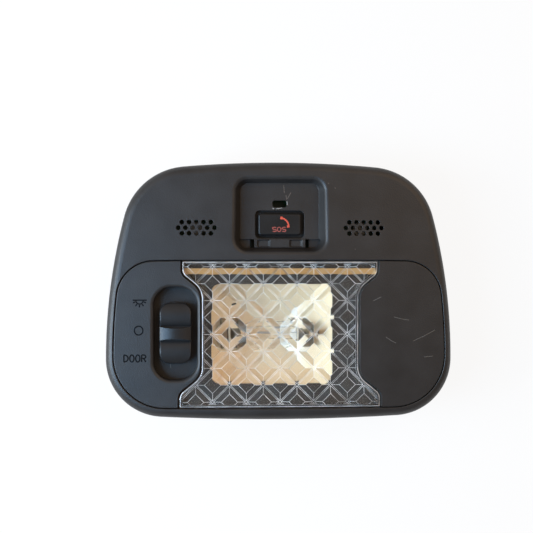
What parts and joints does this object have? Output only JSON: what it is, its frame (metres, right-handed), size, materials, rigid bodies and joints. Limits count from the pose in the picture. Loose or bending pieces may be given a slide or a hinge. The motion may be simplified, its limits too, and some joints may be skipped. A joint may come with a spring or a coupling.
{
  "type": "car courtesy light",
  "caption": "Overhead car courtesy light with a prismatic spool-shaped lens, slide switch, emergency-call key in an uncovered recess and microphone grilles.",
  "frame": {"origin": "middle of the bounding box in plan, on the flat back of the lamp housing; the lamp lies on its back", "axes": "+X to the right of the face, +Y to the call-key end of the face, +Z out of the face"},
  "size_m": [0.15, 0.1111, 0.036],
  "materials": {
    "trim_plastic": "fine grain, matte charcoal black",
    "lens_clear": "clear moulded plastic with a prism pattern on its back",
    "reflector_white": "cream white, satin",
    "bulb_glass": "clear thin glass",
    "nickel": "nickel plated, bright",
    "tungsten": "dull grey wire",
    "brass": "stamped strip, bright",
    "knob_plastic": "smooth matte black",
    "key_plastic": "smooth satin black with a red-orange mark",
    "pale_plastic": "natural moulded plastic",
    "housing_plastic": "moulded black plastic",
    "indicator_lens": "small clear amber block",
    "board": "green lacquered laminate",
    "boot_rubber": "soft black rubber",
    "spring_steel": "bare spring steel",
    "zinc": "zinc plated"
  },
  "bodies": {
    "lamp": {"bezel": "trim_plastic", "lens_panel": "trim_plastic", "lens": "lens_clear", "reflector": "reflector_white", "bulb_glass": "bulb_glass", "bulb_caps": "nickel", "bulb_filament": "tungsten", "bulb_contact_left": "brass", "bulb_contact_right": "brass", "switch_base": "housing_plastic", "switch_terminals": "brass", "call_switch": "housing_plastic", "call_indicator": "indicator_lens", "circuit_board": "board", "microphone_left": "nickel", "microphone_right": "nickel", "microphone_boot_left": "boot_rubber", "microphone_boot_right": "boot_rubber", "connector_shell": "pale_plastic", "connector_pins": "nickel", "lamp_housing": "housing_plastic", "clip_left": "spring_steel", "clip_right": "spring_steel", "housing_screws": "zinc"},
    "switch": {"switch_knob": "knob_plastic", "switch_carrier": "pale_plastic", "switch_contact": "brass"},
    "call_key": {"call_button": "key_plastic", "call_plunger": "pale_plastic"}
  },
  "joints": [
    {"name": "switch_slide", "type": "slide", "parent": "lamp", "child": "switch", "axis": [0, 1, 0], "range_m": [-0.005, 0.005]},
    {"name": "call_press", "type": "slide", "parent": "lamp", "child": "call_key", "axis": [0, 0, -1], "range_m": [0, 0.0008], "stiffness_N_per_m": 1500, "springref_m": -0.0005}
  ]
}
